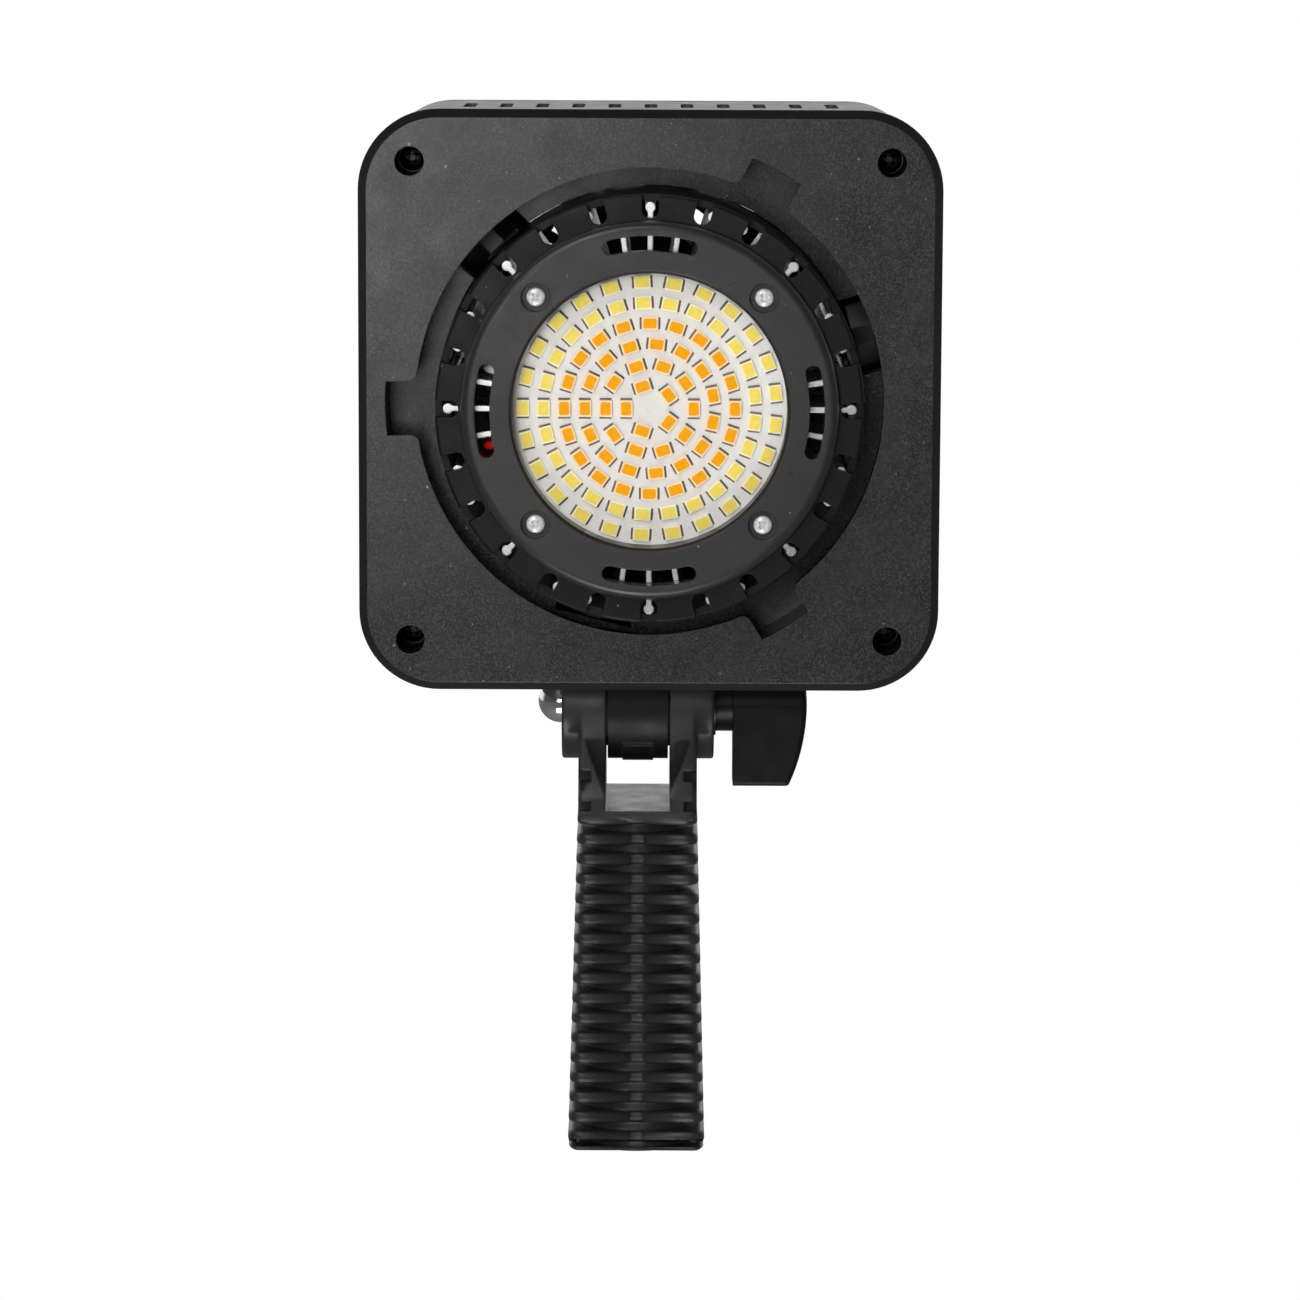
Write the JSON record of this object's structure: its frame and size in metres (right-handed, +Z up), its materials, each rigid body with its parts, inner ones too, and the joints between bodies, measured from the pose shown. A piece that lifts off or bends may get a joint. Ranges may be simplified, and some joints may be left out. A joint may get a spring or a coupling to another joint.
{
  "type": "cob video light",
  "caption": "Compact square LED video light head with a bayonet front, on a ribbed grip that tilts and sits on a light-stand spigot.",
  "frame": {"origin": "centre of the grip's socket mouth, at the bottom of the grip", "axes": "+Z up along the socket and the grip, the light faces -Y, +X to the right seen from the front"},
  "size_m": [0.123, 0.1188, 0.2304],
  "materials": {
    "grip_plastic": "fine matt moulding",
    "turned_steel": "turned",
    "brass_insert": "knurled brass",
    "knob_plastic": "satin",
    "nut_chrome": "bright chrome",
    "nut_steel": "black oxide",
    "washer_nylon": "black nylon",
    "washer_steel": "blackened spring steel",
    "bracket_metal": "black anodised",
    "dark_screws": "black oxide",
    "silver_screws": "bright zinc",
    "face_plate": "fine-grained dark anodised",
    "housing_metal": "satin dark anodised",
    "cover_plastic": "fine matt moulding",
    "lamp_metal": "black anodised",
    "sink_metal": "bright extruded",
    "light_board": "white solder mask",
    "warm_phosphor": "orange phosphor",
    "cool_phosphor": "yellow phosphor",
    "thermal_rubber": "soft pad",
    "fan_plastic": "moulded",
    "green_board": "green solder mask",
    "capacitor_can": "sleeved can",
    "copper_winding": "enamelled copper",
    "terminal_plastic": "moulded",
    "display_black": "moulded",
    "display_glass": "smoked",
    "encoder_metal": "plated",
    "red_wire": "silicone",
    "white_wire": "silicone",
    "black_wire": "silicone"
  },
  "bodies": {
    "grip": {"grip": "grip_plastic", "spigot_sleeve": "turned_steel", "clamp_insert": "brass_insert", "tilt_nut": "nut_chrome", "tilt_washers": "washer_nylon", "lever_washer": "washer_steel"},
    "head": {"bayonet_ring": "face_plate", "bayonet_ring_screws": "dark_screws", "bayonet_springs": "washer_steel", "bezel_screws": "silver_screws", "control_board": "green_board", "control_board_screws": "silver_screws", "control_lead": "black_wire", "cool_leds": "cool_phosphor", "display_module": "display_black", "display_window": "display_glass", "driver_board": "green_board", "driver_board_screws": "silver_screws", "driver_capacitors": "capacitor_can", "driver_inductor": "copper_winding", "drum_screws": "dark_screws", "encoders": "encoder_metal", "fan_frame": "fan_plastic", "fan_lead": "black_wire", "fan_screws": "dark_screws", "front_plate": "face_plate", "heat_sink": "sink_metal", "housing": "housing_metal", "inlet_jack": "display_black", "inlet_nut": "nut_steel", "lamp_bezel": "lamp_metal", "lamp_drum": "lamp_metal", "led_board": "light_board", "led_lead_red": "red_wire", "led_lead_white": "white_wire", "plate_screws": "dark_screws", "power_leads": "black_wire", "rear_cover": "cover_plastic", "rear_cover_screws": "dark_screws", "rocker_frame": "display_black", "tact_switches": "display_black", "terminal_block": "terminal_plastic", "thermal_pad": "thermal_rubber", "tilt_foot": "bracket_metal", "tilt_foot_screws": "dark_screws", "warm_leds": "warm_phosphor"},
    "clamp_knob": {"clamp_knob": "knob_plastic", "clamp_screw": "turned_steel"},
    "tilt_lever": {"tilt_lever": "knob_plastic", "lever_stud": "turned_steel"},
    "fan_rotor": {"fan_rotor": "fan_plastic"},
    "brightness_dial": {"brightness_dial": "knob_plastic", "brightness_shaft": "turned_steel"},
    "colour_dial": {"colour_dial": "knob_plastic", "colour_shaft": "turned_steel"},
    "power_rocker": {"power_rocker": "display_black"},
    "mode_button": {"mode_button": "display_black"},
    "channel_button": {"channel_button": "display_black"}
  },
  "joints": [
    {"name": "head_tilt", "type": "hinge", "parent": "grip", "child": "head", "pos_m": [0, 0, 0.0984], "axis": [1, 0, 0], "range_deg": [-60, 60]},
    {"name": "lever_turn", "type": "hinge", "parent": "grip", "child": "tilt_lever", "pos_m": [0, 0, 0.0984], "axis": [1, 0, 0], "range_deg": [-75, 75]},
    {"name": "clamp_turn", "type": "hinge", "parent": "grip", "child": "clamp_knob", "pos_m": [0, 0.02, 0.0175], "axis": [0, 1, 0], "continuous": true},
    {"name": "fan_spin", "type": "hinge", "parent": "head", "child": "fan_rotor", "pos_m": [0.0023, 0.033, 0.1889], "axis": [0, 1, 0], "continuous": true},
    {"name": "brightness_turn", "type": "hinge", "parent": "head", "child": "brightness_dial", "pos_m": [-0.0357, 0.049, 0.1409], "axis": [0, 1, 0], "continuous": true},
    {"name": "colour_turn", "type": "hinge", "parent": "head", "child": "colour_dial", "pos_m": [0.0403, 0.049, 0.1409], "axis": [0, 1, 0], "continuous": true},
    {"name": "power_switch", "type": "hinge", "parent": "head", "child": "power_rocker", "pos_m": [-0.0317, 0.0414, 0.1199], "axis": [0, 0, 1], "range_deg": [0, 14]},
    {"name": "mode_press", "type": "slide", "parent": "head", "child": "mode_button", "axis": [0, 1, 0], "range_m": [-0.00045, 0], "stiffness_N_per_m": 2500},
    {"name": "channel_press", "type": "slide", "parent": "head", "child": "channel_button", "axis": [0, 1, 0], "range_m": [-0.00045, 0], "stiffness_N_per_m": 2500}
  ]
}
